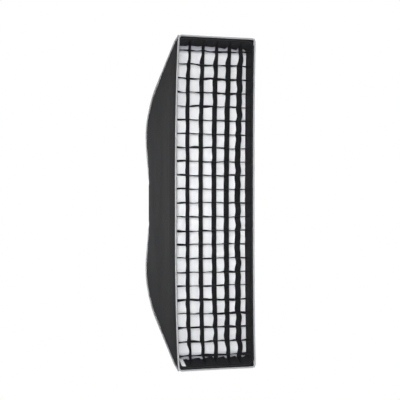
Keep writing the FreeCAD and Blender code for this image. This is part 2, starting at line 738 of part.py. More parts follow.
def make_sockets():
    end, way = socket_line()
    flat = Vector(way.x, 0, way.z).normalize()
    screws = []
    for name, x, z in CORNERS:
        out = at_corner(flat, x, z)
        turn = math.degrees(math.atan2(out.x, out.z))
        block = doc.addObject("Part::Box", "socket_block_" + name)
        block.setExpression("Length", "sizes.socket_width")
        block.setExpression("Width", "sizes.socket_depth")
        block.setExpression("Height", "sizes.socket_length")
        rotation = Rotation(Vector(0, 1, 0), turn)
        across = rotation.multVec(Vector(1, 0, 0))
        foot = Vector(end.x * x, PLATE_FRONT - size("socket_depth"), end.z * z)
        foot = foot - out * size("socket_end_wall")
        block.Placement = Placement(foot - across * (size("socket_width") / 2), rotation)
        bore = cylinder("socket_bore_" + name, at_corner(end - way * GAP, x, z), at_corner(way, x, z),
                        "sizes.rod_diameter / 2 + sizes.slip_clearance", "2 * sizes.socket_length")
        drilled = boolean("Part::Cut", "socket_drilled_" + name, block, bore)
        for step, place in enumerate(socket_screw_places()):
            tag = "%s_%d" % (name, step + 1)
            face = at_corner(place, x, z) + Vector(0, PLATE_FRONT + size("plate_thickness"), 0)
            head = cylinder("socket_head_" + tag, face, Vector(0, -1, 0),
                            "sizes.socket_head_radius", "sizes.socket_head_height")
            shank = cylinder("socket_shank_" + tag, face, Vector(0, -1, 0), "sizes.socket_screw_radius",
                             "sizes.plate_thickness + sizes.socket_screw_reach")
            screws.append(boolean("Part::Fuse", "socket_screw_" + tag, head, shank))
            hole = cylinder("socket_hole_" + tag, face, Vector(0, -1, 0),
                            "sizes.socket_screw_radius + sizes.slip_clearance",
                            "sizes.plate_thickness + sizes.socket_screw_reach + sizes.slip_clearance")
            drilled = boolean("Part::Cut", "socket_part_" + tag, drilled, hole)
        name_part(drilled, "rod_socket_" + name)
    gather("socket_screws", screws)


def make_speed_ring():
    body = new_body("speed_ring")
    half_width = "(" + HUB_RADIUS + " + sizes.plate_side_margin)"
    half_height = "(" + HUB_RADIUS + " + sizes.plate_end_margin)"
    outline = new_sketch(body, "plate_outline", "XZ_Plane", PLATE_BACK)
    draw_outline(outline, [(a + half_width, b + half_height)
                           for a, b in (("-", "-"), ("", "-"), ("", ""), ("-", ""))])
    ring_plate = add_pad(body, "ring_plate", outline, "sizes.plate_thickness")
    corners = ["Edge%d" % (i + 1) for i, edge in enumerate(body.Shape.Edges)
               if abs(edge.tangentAt(edge.FirstParameter).y) > 0.9]
    rounding = body.newObject("PartDesign::Fillet", "plate_corners")
    rounding.Base = (ring_plate, corners)
    rounding.setExpression("Radius", "sizes.plate_corner_radius")
    doc.recompute()
    hub = new_sketch(body, "hub_outline", "XZ_Plane", HUB_BACK)
    draw_circle(hub, HUB_RADIUS)
    add_pad(body, "hub", hub, "sizes.hub_length + sizes.plate_thickness / 2")
    bore = new_sketch(body, "bore_outline", "XZ_Plane", HUB_BACK)
    draw_circle(bore, NECK_RADIUS + " + sizes.running_clearance")
    add_pocket(body, "bore", bore, "sizes.hub_length + sizes.plate_thickness")
    heads = new_sketch(body, "head_recesses", "XZ_Plane", PLATE_BACK)
    shanks = new_sketch(body, "screw_holes", "XZ_Plane", PLATE_BACK)
    for name, x, z in CORNERS:
        for place in socket_screw_places():
            spot = ("%.4f mm" % (place.x * x), "%.4f mm" % (place.z * z))
            draw_circle(heads, "sizes.socket_head_radius + sizes.slip_clearance", *spot)
            draw_circle(shanks, "sizes.socket_screw_radius + sizes.slip_clearance", *spot)
    add_pocket(body, "recesses", heads, "sizes.socket_head_height + sizes.slip_clearance")
    add_pocket(body, "holes", shanks, "sizes.plate_thickness")
    lock = new_sketch(body, "lock_outline", "YZ_Plane", NECK_RADIUS + " / 2")
    draw_circle(lock, "sizes.lock_stud_radius + sizes.running_clearance", "-sizes.lock_place", "0 mm")
    add_pocket(body, "lock_hole", lock, HUB_RADIUS)


def make_bayonet_ring():
    """Flange, neck and spigot turned in one piece, with three lugs on the spigot's end."""
    body = new_body("bayonet_ring")
    turn_profile(body, "ring", [
        ("sizes.light_opening_radius", "-" + NECK_END),
        (NECK_RADIUS, "-" + NECK_END),
        (NECK_RADIUS, "-sizes.flange_thickness"),
        (NECK_RADIUS + " + sizes.flange_step", "-sizes.flange_thickness"),
        (NECK_RADIUS + " + sizes.flange_step", "0 mm"),
        (SPIGOT_RADIUS, "0 mm"),
        (SPIGOT_RADIUS, "sizes.spigot_length"),
        ("sizes.light_opening_radius", "sizes.spigot_length"),
    ])
    lug = new_sketch(body, "lug_outline", "XZ_Plane", "-sizes.spigot_length")
    inner = SPIGOT_RADIUS + " - sizes.spigot_wall / 2"
    outer = SPIGOT_RADIUS + " + sizes.lug_step"
    draw_outline(lug, [("-sizes.lug_width / 2", inner), ("sizes.lug_width / 2", inner),
                       ("sizes.lug_width / 2", outer), ("-sizes.lug_width / 2", outer)])
    pad = add_pad(body, "lug", lug, "sizes.lug_thickness")
    repeat_round(body, "lugs", pad, "Y_Axis", "3")
    hole = new_sketch(body, "screw_outline", "XZ_Plane", NECK_END)
    draw_circle(hole, "sizes.retainer_screw_radius + sizes.slip_clearance",
                SCREW_CIRCLE, "0 mm")
    cut = add_pocket(body, "screw_hole", hole,
                     "sizes.retainer_screw_reach + sizes.slip_clearance", forward=False)
    repeat_round(body, "screw_holes", cut, "Y_Axis", "sizes.retainer_screw_count")


def make_retaining_ring():
    body = new_body("retaining_ring")
    disc = new_sketch(body, "ring_outline", "XZ_Plane", NECK_END)
    draw_circle(disc, NECK_RADIUS + " + sizes.retainer_step")
    draw_circle(disc, "sizes.light_opening_radius + sizes.retainer_bore_step")
    add_pad(body, "ring", disc, "sizes.retainer_thickness")
    hole = new_sketch(body, "screw_outline", "XZ_Plane", NECK_END)
    draw_circle(hole, "sizes.retainer_screw_radius + sizes.slip_clearance",
                SCREW_CIRCLE, "0 mm")
    cut = add_pocket(body, "screw_hole", hole, "sizes.retainer_thickness")
    repeat_round(body, "screw_holes", cut, "Y_Axis", "sizes.retainer_screw_count")
    face = PLATE_FRONT - size("axial_play") / 2 - size("retainer_thickness")
    screws = []
    for step in range(int(size("retainer_screw_count"))):
        angle = 2 * math.pi * step / size("retainer_screw_count")
        place = Vector(math.cos(angle), 0, math.sin(angle)) * (NECK - size("neck_wall") / 2)
        place.y = face
        head = cylinder("retainer_head_%d" % step, place, Vector(0, -1, 0),
                        "sizes.retainer_head_radius", "sizes.retainer_head_height")
        shank = cylinder("retainer_shank_%d" % step, place, Vector(0, 1, 0), "sizes.retainer_screw_radius",
                         "sizes.retainer_thickness + sizes.retainer_screw_reach")
        screws.append(boolean("Part::Fuse", "retainer_screw_%d" % step, head, shank))
    gather("retaining_screws", screws)


def make_lock():
    stud_start = Vector(NECK + size("running_clearance"), -size("lock_place"), 0)
    outwards = Vector(1, 0, 0)
    name_part(cylinder("lock_stud", stud_start, outwards, "sizes.lock_stud_radius",
                       "sizes.lock_stud_length"), "lock_stud")
    body = new_body("lock_knob")
    knob_start = HUB_RADIUS + " + sizes.lock_knob_gap"
    disc = new_sketch(body, "knob_outline", "YZ_Plane", knob_start)
    draw_circle(disc, "sizes.lock_knob_radius", "-sizes.lock_place", "0 mm")
    add_pad(body, "knob", disc, "sizes.lock_knob_height")
    hole = new_sketch(body, "stud_hole_outline", "YZ_Plane", knob_start)
    draw_circle(hole, "sizes.lock_stud_radius + sizes.running_clearance", "-sizes.lock_place", "0 mm")
    add_pocket(body, "stud_hole", hole, NECK_RADIUS + " + sizes.running_clearance"
               " + sizes.lock_stud_length + sizes.slip_clearance - (" + knob_start + ")")
    grips = new_sketch(body, "grip_outlines", "YZ_Plane", knob_start)
    count = int(size("lock_grip_count"))
    for step in range(count):
        angle = "(360 deg * %d / %d)" % (step, count)
        draw_circle(grips, "sizes.lock_grip_radius",
                    "sizes.lock_knob_radius * cos%s - sizes.lock_place" % angle,
                    "sizes.lock_knob_radius * sin%s" % angle)
    add_pocket(body, "grips", grips, "sizes.lock_knob_height")


# ---------------------------------------------------------------- collar behind the shell

def make_collar():
    """A fabric box round the speed ring's plate, closed behind it up to the hub."""
    half_width, half_height = OPENING_HALF_WIDTH, OPENING_HALF_HEIGHT
    back = PLATE_FRONT + size("plate_thickness") + GAP + FABRIC
    outside = Part.makeBox(2 * half_width, back - OPENING_Y, 2 * half_height,
                           Vector(-half_width, OPENING_Y, -half_height))
    inside = Part.makeBox(2 * (half_width - FABRIC), back - OPENING_Y, 2 * (half_height - FABRIC),
                          Vector(FABRIC - half_width, OPENING_Y - FABRIC, FABRIC - half_height))
    hole = Part.makeCylinder(HUB + GAP, 3 * FABRIC, Vector(0, back - 2 * FABRIC, 0),
                             Vector(0, 1, 0))
    shell_end = Part.makeBox(2 * half_width, GAP, 2 * half_height,
                             Vector(-half_width, OPENING_Y, -half_height))
    sewn("rear_collar", outside.cut([inside, hole, shell_end]))
    elastic = doc.addObject("Part::Torus", "collar_elastic")
    elastic.setExpression("Radius1", HUB_RADIUS + " + sizes.sewn_gap + sizes.elastic_diameter / 2")
    elastic.setExpression("Radius2", "sizes.elastic_diameter / 2")
    place = Vector(0, back + GAP + size("elastic_diameter") / 2, 0)
    elastic.Placement = Placement(place, Rotation(Vector(1, 0, 0), 90))
    name_part(elastic, "collar_elastic")


# ---------------------------------------------------------------- build, check and write

def check_and_write():
    doc.recompute()
    for thing in doc.Objects:
        if "Invalid" in thing.State or "Error" in thing.State:
            raise RuntimeError("%s failed: %s" % (thing.Label, thing.State))
    for part in subparts:
        if part.Shape.isNull() or not part.Shape.isValid():
            raise RuntimeError("bad shape: " + part.Label)
        if not part.Shape.Solids:
            raise RuntimeError("no solid: " + part.Label)
        part.Shape.exportStep("parts/%s.step" % part.Label)
        print(part.Label, len(part.Shape.Solids), "solids")
    print(len(subparts), "sub-parts")


make_shell()
make_linings()
make_piping()
make_lips_and_tapes()
make_diffuser()
make_grid()
make_baffle()
make_rods()
make_sockets()
make_speed_ring()
make_bayonet_ring()
make_retaining_ring()
make_lock()
make_collar()
check_and_write()
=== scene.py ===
# %% [markdown]
# # A strip softbox with an egg-crate grid
#
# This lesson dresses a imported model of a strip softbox: a tall, narrow tent of black nylon on four sprung
# rods, with light grey piping on its seams, a white diffuser sheet in front and a fabric grid over that.
# The hard parts, such as the rods and the ring that holds the light, come ready from the model and only
# need a finish. Everything sewn is made again here, because cloth sags, bows and ripples, which a set of
# flat solids can't show. Every length is in metres. The light shines towards -Y, and +Z is up.

import json
import math
import random

import bmesh
import bpy
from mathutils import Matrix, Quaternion, Vector, noise


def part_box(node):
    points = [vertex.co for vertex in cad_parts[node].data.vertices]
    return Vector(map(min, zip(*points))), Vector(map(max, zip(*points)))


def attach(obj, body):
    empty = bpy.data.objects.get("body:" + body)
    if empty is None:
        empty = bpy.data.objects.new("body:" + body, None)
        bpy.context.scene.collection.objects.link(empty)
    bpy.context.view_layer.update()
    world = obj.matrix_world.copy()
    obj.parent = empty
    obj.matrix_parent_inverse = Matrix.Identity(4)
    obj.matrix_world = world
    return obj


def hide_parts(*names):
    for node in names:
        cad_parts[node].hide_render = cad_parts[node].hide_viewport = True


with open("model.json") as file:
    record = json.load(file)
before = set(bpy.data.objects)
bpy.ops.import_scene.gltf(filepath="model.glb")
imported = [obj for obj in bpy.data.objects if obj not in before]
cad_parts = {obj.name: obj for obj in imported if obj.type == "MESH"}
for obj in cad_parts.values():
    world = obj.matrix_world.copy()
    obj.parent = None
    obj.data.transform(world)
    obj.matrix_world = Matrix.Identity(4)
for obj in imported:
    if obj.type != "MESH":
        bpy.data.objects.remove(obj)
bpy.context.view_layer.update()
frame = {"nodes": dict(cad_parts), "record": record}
scene = bpy.context.scene
chance = random.Random(12)
for plain in list(bpy.data.materials):       # the finishes below take their names
    bpy.data.materials.remove(plain)

# %% [markdown]
# ## Where the camera stands
#
# The softbox is seen level, from the front and a little to its left, through a long lens, so that its
# front stays almost a true rectangle. The camera could be put in place by eye, but it is steadier to work
# it out: a direction and a distance from the middle of the front rim. It aims slightly to one side and up
# rather than shifting its lens, because a shift would stay in every other view.

# %% Camera
FACE_CENTRE = Vector((0, -0.53025, 0))
CAMERA_TURN = math.radians(-23.2)
CAMERA_DISTANCE = 4.834
AIM_LEFT, AIM_UP = 0.0614, 0.0110

away = Vector((math.sin(CAMERA_TURN), -math.cos(CAMERA_TURN), 0))
eye = FACE_CENTRE + away * CAMERA_DISTANCE
screen_right = Vector((math.cos(CAMERA_TURN), math.sin(CAMERA_TURN), 0))
target = FACE_CENTRE - screen_right * AIM_LEFT + Vector((0, 0, AIM_UP))

lens = bpy.data.cameras.new("camera")
lens.lens = 120.3
lens.sensor_width = 36
lens.clip_end = 60
camera = bpy.data.objects.new("camera", lens)
camera.location = eye
camera.rotation_euler = (target - eye).to_track_quat("-Z", "Y").to_euler()
scene.collection.objects.link(camera)
scene.camera = camera
print("camera at", [round(n, 3) for n in eye])

# %% [markdown]
# ## Studio
#
# A white room is the plainest stage. The world is pure white to the camera and in reflections, and softer
# to everything that it lights, so a bright background never burns out the cloth. Two large lamps in front
# shape the folds, and a third lights the side panel from behind. The softbox hangs on its stand at working
# height, so the floor is well below it.

# %% World
scene.view_settings.view_transform = "Standard"
world = bpy.data.worlds.new("white_room")
world.use_nodes = True
scene.world = world
room = world.node_tree
room.nodes.clear()


def room_light(colour, strength):
    light = room.nodes.new("ShaderNodeBackground")
    light.inputs["Color"].default_value = (*colour, 1)
    light.inputs["Strength"].default_value = strength
    return light.outputs[0]


def larger(tree, first, second):
    """The larger of two values, as a Math node."""
    node = tree.nodes.new("ShaderNodeMath")
    node.operation = "MAXIMUM"
    tree.links.new(first, node.inputs[0])
    tree.links.new(second, node.inputs[1])
    return node.outputs[0]


rays = room.nodes.new("ShaderNodeLightPath").outputs
seen = larger(room, larger(room, rays["Is Camera Ray"], rays["Is Glossy Ray"]), rays["Is Transmission Ray"])
mix = room.nodes.new("ShaderNodeMixShader")
output = room.nodes.new("ShaderNodeOutputWorld")
room.links.new(seen, mix.inputs[0])
room.links.new(room_light((0.93, 0.96, 1.0), 0.36), mix.inputs[1])
room.links.new(room_light((1, 1, 1), 1.0), mix.inputs[2])
room.links.new(mix.outputs[0], output.inputs[0])


# %% Lamps
def lamp(name, place, aim, size, power, spread=180):
    """A square soft lamp that faces a point. A narrow spread, in degrees, fades towards its edges."""
    light = bpy.data.lights.new(name, "AREA")
    light.size = size
    light.energy = power
    light.spread = math.radians(spread)
    holder = bpy.data.objects.new(name, light)
    holder.location = place
    holder.rotation_euler = (Vector(aim) - Vector(place)).to_track_quat("-Z", "Y").to_euler()
    scene.collection.objects.link(holder)
    return holder


lamp("key", (-2.1, -5.0, 0.10), FACE_CENTRE, 1.6, 10.6, spread=28)
lamp("fill", (1.2, -5.2, 0.2), FACE_CENTRE, 1.8, 45)
lamp("back_left", (-3.6, 2.9, 0.1), (-0.1, 0, 0), 1.2, 7.5, spread=30)

# %% Floor
FLOOR_Z = -1.55
floor_mesh = bmesh.new()
bmesh.ops.create_grid(floor_mesh, x_segments=1, y_segments=1, size=4.0)
bmesh.ops.translate(floor_mesh, verts=floor_mesh.verts, vec=(0, 0, FLOOR_Z))
floor_data = bpy.data.meshes.new("floor")
floor_mesh.to_mesh(floor_data)
floor = bpy.data.objects.new("floor", floor_data)
scene.collection.objects.link(floor)
print("floor", round(-FLOOR_Z, 2), "m under the light's axis")

# %% [markdown]
# ## Finishes
#
# A finish is a Principled shader with a texture for whatever the eye would notice up close: the weave of
# the cloth, the threads of a seam, the grain of a casting. Cloth patterns follow the piece's own UV map,
# which is laid out in metres, so a thread has the same width everywhere. Hard parts use Object
# coordinates. Numbers that don't vary are set on the shader itself.


# %% Shader helpers
def new_finish(name, colour, roughness, **sockets):
    """A Principled material. Further sockets are given by name, with _ for a space."""
    material = bpy.data.materials.new(name)
    material.use_nodes = True
    shader = material.node_tree.nodes["Principled BSDF"]
    shader.inputs["Base Color"].default_value = (*colour, 1)
    shader.inputs["Roughness"].default_value = roughness
    for socket, value in sockets.items():
        value = (*value, 1) if isinstance(value, tuple) else value
        shader.inputs[socket.replace("_", " ")].default_value = value
    return material


def add(material, kind, **settings):
    """A node of that kind; settings go to its sockets by name, or else to the node itself."""
    node = material.node_tree.nodes.new("ShaderNode" + kind)
    for name, value in settings.items():
        socket = name.replace("_", " ")
        if socket in node.inputs:
            node.inputs[socket].default_value = value
        else:
            setattr(node, name, value)
    return node


def join(material, source, target):
    material.node_tree.links.new(source, target)


def math_node(material, operation, first, second=0.0):
    """The result of a Math node on two sockets or numbers."""
    node = add(material, "Math", operation=operation)
    for place, value in enumerate((first, second)):
        if isinstance(value, (int, float)):
            node.inputs[place].default_value = value
        else:
            join(material, value, node.inputs[place])
    return node.outputs[0]


def shader_of(material):
    return material.node_tree.nodes["Principled BSDF"]


def coordinates(material, kind, stretch=(1, 1, 1)):
    """UV or Object coordinates, multiplied."""
    source = add(material, "TexCoord")
    mapping = add(material, "Mapping")
    mapping.inputs["Scale"].default_value = stretch
    join(material, source.outputs[kind], mapping.inputs["Vector"])
    return mapping.outputs[0]


def bumpy(material, height, distance, strength=1.0):
    """Adds a height pattern to the finish's bump, on top of any that it has."""
    node = add(material, "Bump", Distance=distance, Strength=strength)
    join(material, height, node.inputs["Height"])
    normal = shader_of(material).inputs["Normal"]
    if normal.is_linked:
        join(material, normal.links[0].from_socket, node.inputs["Normal"])
    join(material, node.outputs[0], normal)


def tinted(material, pattern, dark, light):
    """Colours a finish between two colours by a pattern from 0 to 1."""
    ramp = add(material, "ValToRGB")
    ramp.color_ramp.elements[0].color = (*dark, 1)
    ramp.color_ramp.elements[1].color = (*light, 1)
    join(material, pattern, ramp.inputs[0])
    join(material, ramp.outputs[0], shader_of(material).inputs["Base Color"])
    return ramp


BAND_SCALE = 0.314159            # a Wave texture of scale 1 repeats every 0.314 units


def bands(material, coords, pitch, direction):
    """Ridges that pitch metres apart, across one direction."""
    node = add(material, "TexWave", Scale=BAND_SCALE / pitch, bands_direction=direction)
    join(material, coords, node.inputs["Vector"])
    return node.outputs["Fac"]


def weave(material, pitch, depth):
    """A plain weave on the UV map: neighbouring squares show the warp and the weft."""
    cloth = coordinates(material, "UV")
    checker = add(material, "TexChecker", Scale=1 / pitch)
    join(material, cloth, checker.inputs["Vector"])
    threads = add(material, "Mix")
    join(material, checker.outputs["Fac"], threads.inputs["Factor"])
    join(material, bands(material, cloth, pitch, "X"), threads.inputs[2])
    join(material, bands(material, cloth, pitch, "Y"), threads.inputs[3])
    bumpy(material, threads.outputs[0], depth)
    return threads.outputs[0]


def clouds(material, kind, scale, detail=3.0, stretch=(1, 1, 1)):
    """Soft noise, from 0 to 1."""
    node = add(material, "TexNoise", Scale=scale, Detail=detail)
    join(material, coordinates(material, kind, stretch), node.inputs["Vector"])
    return node.outputs["Fac"]


# %% [markdown]
# ### Cloth finishes
#
# Coated nylon is nearly black but never flat: its weave catches light at a slant, and handling leaves
# faint paler patches. A row of stitches runs beside every seam. The stitches could be thousands of small
# meshes, but a pattern drawn from two measures that each panel carries, how far a point is from the seam
# and how far along it, gives the same row at no cost.


# %% Shell nylon
def stitched(material, distance, thread):
    """A row of stitches at a distance from the seam, on cloth that carries the attribute from_seam."""
    from_seam = add(material, "Attribute", attribute_name="from_seam").outputs["Fac"]
    off_row = math_node(material, "ABSOLUTE", math_node(material, "SUBTRACT", from_seam, distance))
    on_row = math_node(material, "LESS_THAN", off_row, 0.0006)
    along = add(material, "SeparateXYZ")
    join(material, coordinates(material, "UV"), along.inputs[0])
    travel = math_node(material, "ADD", along.outputs["X"], along.outputs["Y"])
    step = math_node(material, "FRACT", math_node(material, "DIVIDE", travel, 0.0036))
    stitch = math_node(material, "MULTIPLY", on_row, math_node(material, "LESS_THAN", step, 0.72))
    bumpy(material, stitch, 0.0005)
    paint = add(material, "Mix", data_type="RGBA")
    base = shader_of(material).inputs["Base Color"]
    join(material, stitch, paint.inputs[0])
    if base.is_linked:
        join(material, base.links[0].from_socket, paint.inputs[6])
    else:
        paint.inputs[6].default_value = base.default_value
    paint.inputs[7].default_value = (*thread, 1)
    join(material, paint.outputs[2], base)


shell_nylon = new_finish("shell_nylon", (0.015, 0.015, 0.016), 0.6,
                         Sheen_Weight=0.01, Sheen_Roughness=0.4, Specular_IOR_Level=0.015)
tinted(shell_nylon, clouds(shell_nylon, "Object", 9, 4), (0.012, 0.012, 0.013), (0.019, 0.019, 0.020))
weave(shell_nylon, 0.0009, 0.00012)
bumpy(shell_nylon, clouds(shell_nylon, "Object", 45, 4), 0.0007, 0.5)
stitched(shell_nylon, 0.0065, (0.085, 0.085, 0.09))

# %% Silver lining
silver_lining = new_finish("silver_lining", (0.74, 0.75, 0.77), 0.34, Metallic=0.75)
tinted(silver_lining, clouds(silver_lining, "Object", 30, 5), (0.64, 0.65, 0.67), (0.82, 0.83, 0.85))
weave(silver_lining, 0.0008, 0.0001)
bumpy(silver_lining, clouds(silver_lining, "Object", 60, 6), 0.0012, 0.6)

# %% Grey piping
grey_piping = new_finish("grey_piping", (0.38, 0.38, 0.39), 0.6,
                         Sheen_Weight=0.1, Sheen_Roughness=0.4, Specular_IOR_Level=0.3)
tinted(grey_piping, clouds(grey_piping, "Object", 70, 4), (0.33, 0.33, 0.34), (0.43, 0.43, 0.44))
weave(grey_piping, 0.0007, 0.0002)

# %% Hook-and-loop tape
hook_and_loop = new_finish("hook_and_loop", (0.02, 0.02, 0.021), 0.95,
                           Sheen_Weight=0.1, Specular_IOR_Level=0.15)
pile = add(hook_and_loop, "TexVoronoi", Scale=900)
join(hook_and_loop, coordinates(hook_and_loop, "Object"), pile.inputs["Vector"])
tinted(hook_and_loop, pile.outputs["Distance"], (0.012, 0.012, 0.013), (0.035, 0.035, 0.036))
bumpy(hook_and_loop, pile.outputs["Distance"], 0.0008)

# %% Diffusion cloth
diffusion_cloth = new_finish("diffusion_cloth", (0.86, 0.87, 0.89), 0.8,
                             Sheen_Weight=0.15, Specular_IOR_Level=0.3)
tinted(diffusion_cloth, clouds(diffusion_cloth, "Object", 14, 4), (0.75, 0.765, 0.79), (0.90, 0.91, 0.915))
weave(diffusion_cloth, 0.0010, 0.00012)
bumpy(diffusion_cloth, clouds(diffusion_cloth, "Object", 38, 4), 0.0020, 0.7)
# Painted shade: within 24 mm of a sewn edge, by the from_seam attribute, the colour is mixed down to a
# violet-grey. It stands in for the shade of the gathered folds at the diffuser's top and bottom ends. The
# baffle shares this finish and carries from_seam too, so its edges get the same painted shade.
near_seam = add(diffusion_cloth, "Attribute", attribute_name="from_seam").outputs["Fac"]
painted_end_shade = add(diffusion_cloth, "Mix", data_type="RGBA")
colour = shader_of(diffusion_cloth).inputs["Base Color"]
reach = math_node(diffusion_cloth, "MINIMUM", math_node(diffusion_cloth, "DIVIDE", near_seam, 0.024), 1.0)
join(diffusion_cloth, reach, painted_end_shade.inputs[0])
painted_end_shade.inputs[6].default_value = (0.27, 0.27, 0.33, 1)
join(diffusion_cloth, colour.links[0].from_socket, painted_end_shade.inputs[7])
join(diffusion_cloth, painted_end_shade.outputs[2], colour)

# %% Grid fabric
grid_fabric = new_finish("grid_fabric", (0.018, 0.0185, 0.020), 0.85, Specular_IOR_Level=0.05)
tinted(grid_fabric, clouds(grid_fabric, "Object", 25, 4), (0.013, 0.0135, 0.015), (0.024, 0.0245, 0.027))
weave(grid_fabric, 0.0009, 0.00015)
bumpy(grid_fabric, clouds(grid_fabric, "Object", 80, 4), 0.0006, 0.5)

grid_hem = new_finish("grid_hem", (0.016, 0.0165, 0.018), 0.8, Sheen_Weight=0.05, Specular_IOR_Level=0.03)
tinted(grid_hem, clouds(grid_hem, "Object", 30, 4), (0.010, 0.0105, 0.0115), (0.022, 0.0225, 0.025))
weave(grid_hem, 0.0009, 0.00015)
bumpy(grid_hem, clouds(grid_hem, "Object", 60, 4), 0.0008, 0.6)

# %% Label and elastic
woven_label = new_finish("woven_label", (0.88, 0.88, 0.87), 0.45, Sheen_Weight=0.3)
tinted(woven_label, clouds(woven_label, "Object", 120, 3), (0.84, 0.84, 0.83), (0.92, 0.92, 0.91))
weave(woven_label, 0.0006, 0.0001)
elastic = new_finish("elastic", (0.03, 0.03, 0.031), 0.8, Sheen_Weight=0.3)
ribs = bands(elastic, coordinates(elastic, "Object"), 0.0016, "DIAGONAL")
tinted(elastic, ribs, (0.02, 0.02, 0.021), (0.045, 0.045, 0.047))
bumpy(elastic, ribs, 0.0004)
print("cloth finishes:", len(bpy.data.materials))

# %% [markdown]
# ### Hard finishes
#
# The ring that holds the light is a powder-coated casting, and the ring that turns inside it is bare
# aluminium from a lathe, which leaves fine grooves round its axis. Steel rods, zinc screws and moulded
# caps complete it.


# %% Metals and plastics
def speckle(material, scale, dark, light, depth):
    """Uneven colour and a fine grain, on Object coordinates."""
    grain = clouds(material, "Object", scale, 5)
    tinted(material, grain, dark, light)
    bumpy(material, grain, depth)


black_aluminium = new_finish("black_aluminium", (0.03, 0.03, 0.031), 0.42)
speckle(black_aluminium, 900, (0.024, 0.024, 0.025), (0.045, 0.045, 0.047), 0.0001)
bare_aluminium = new_finish("bare_aluminium", (0.58, 0.59, 0.60), 0.34, Metallic=1.0, Anisotropic=0.4)
tinted(bare_aluminium, clouds(bare_aluminium, "Object", 60, 4), (0.52, 0.53, 0.54), (0.64, 0.65, 0.66))
lathe = add(bare_aluminium, "TexWave", Scale=BAND_SCALE / 0.0005, wave_type="RINGS", rings_direction="Y")
join(bare_aluminium, coordinates(bare_aluminium, "Object"), lathe.inputs["Vector"])
bumpy(bare_aluminium, lathe.outputs["Fac"], 0.00003)
spring_steel = new_finish("spring_steel", (0.56, 0.57, 0.58), 0.25, Metallic=1.0)
speckle(spring_steel, 200, (0.50, 0.51, 0.52), (0.62, 0.63, 0.64), 0.00003)
zinc_screw = new_finish("zinc_screw", (0.68, 0.68, 0.69), 0.35, Metallic=1.0)
speckle(zinc_screw, 400, (0.60, 0.60, 0.61), (0.74, 0.74, 0.75), 0.00005)
vinyl_cap = new_finish("vinyl_cap", (0.04, 0.04, 0.041), 0.55)
speckle(vinyl_cap, 300, (0.03, 0.03, 0.031), (0.05, 0.05, 0.052), 0.0001)
moulded_knob = new_finish("moulded_knob", (0.025, 0.025, 0.026), 0.5)
speckle(moulded_knob, 1200, (0.02, 0.02, 0.021), (0.035, 0.035, 0.036), 0.00015)
press_stud = new_finish("press_stud", (0.04, 0.04, 0.042), 0.3, Coat_Weight=0.5)
speckle(press_stud, 300, (0.035, 0.035, 0.036), (0.05, 0.05, 0.052), 0.00003)
print("all finishes:", len(bpy.data.materials))

# %% Put a finish on every node of the model
for part in frame["record"]["subparts"]:
    node = frame["nodes"][part["node"]]
    finish = bpy.data.materials[part["material_slot"]]
    for place in range(max(1, len(node.data.materials))):
        if place < len(node.data.materials):
            node.data.materials[place] = finish
        else:
            node.data.materials.append(finish)
floor_paint = new_finish("floor_paint", (0.86, 0.86, 0.86), 0.9)
tinted(floor_paint, clouds(floor_paint, "Object", 2, 2), (0.84, 0.84, 0.84), (0.88, 0.88, 0.88))
floor_data.materials.append(floor_paint)

# %% [markdown]
# ## The seam that everything follows
#
# Each corner of the tent is one seam over one rod: three nearly straight runs joined by long bends, from
# the rear opening out to the rim. It is written once for the top right corner. The other corners mirror
# it, and all four panels, their linings and the piping are hung from it, so nothing can come apart.

# %% Seam line
SEAM_KNOTS = [Vector(p) for p in ((0.0760, -0.04025, 0.082), (0.1037, -0.06825, 0.276),
                                  (0.1209, -0.18125, 0.396), (0.1500, -0.53025, 0.600))]
BEND_RADII = (0.225, 0.550)
LONGEST_BEND = 0.48              # of a straight run, at most
HALF_WIDTH, HALF_HEIGHT = SEAM_KNOTS[-1].x, SEAM_KNOTS[-1].z
RIM_Y = SEAM_KNOTS[-1].y
CORNER_TUCK = 0.0030             # how far the rim's rounded corner draws the seam in
CORNERS = {"top_right": (1, 1), "top_left": (-1, 1), "bottom_right": (1, -1), "bottom_left": (-1, -1)}


def bend(before, knot, after, radius, steps=20):
    """Points of the arc that rounds off one knot."""
    back, ahead = before - knot, after - knot
    half = back.angle(ahead) / 2
    reach = min(radius / math.tan(half), LONGEST_BEND * min(back.length, ahead.length))
    start, end = knot + back.normalized() * reach, knot + ahead.normalized() * reach
    middle = (back.normalized() + ahead.normalized()).normalized()
    centre = knot + middle * (reach / math.cos(half))
    turn = (start - centre).rotation_difference(end - centre)
    return [centre + Quaternion().slerp(turn, i / steps) @ (start - centre) for i in range(steps + 1)]


seam_points = [SEAM_KNOTS[0]]
for i in (1, 2):
    seam_points += bend(*SEAM_KNOTS[i - 1:i + 2], BEND_RADII[i - 1])
seam_points.append(SEAM_KNOTS[3])
seam_reach = [0.0]
for a, b in zip(seam_points, seam_points[1:]):
    seam_reach.append(seam_reach[-1] + (b - a).length)
SEAM_LENGTH = seam_reach[-1]
print("each seam is", round(SEAM_LENGTH, 3), "m long")


def smooth(value, low, high):
    """0 at low, 1 at high, and level at both."""
    t = min(1.0, max(0.0, (value - low) / (high - low)))
    return t * t * (3 - 2 * t)


def seam_at(u):
    """The point at share u of the seam, from the rear opening to the rim, and the seam's direction."""
    distance = u * SEAM_LENGTH
    i = max(k for k in range(len(seam_points) - 1) if seam_reach[k] <= distance + 1e-9)
    way = (seam_points[i + 1] - seam_points[i]).normalized()
    point = seam_points[i] + way * (distance - seam_reach[i])
    tuck = CORNER_TUCK * smooth(u, 0.94, 1.0)
    return point - Vector((tuck, 0, tuck)), way


# %% [markdown]
# ## How cloth is laid
#
# A sheet of cloth starts as Blender's flat grid. Each of its points has a place on the sheet, u and v
# from 0 to 1, and a short function says where that spot hangs in the room. That keeps one idea for every
# panel, strip and band, and the UV map comes from the same u and v in metres. The sheet gets its thickness
# from a Solidify modifier.


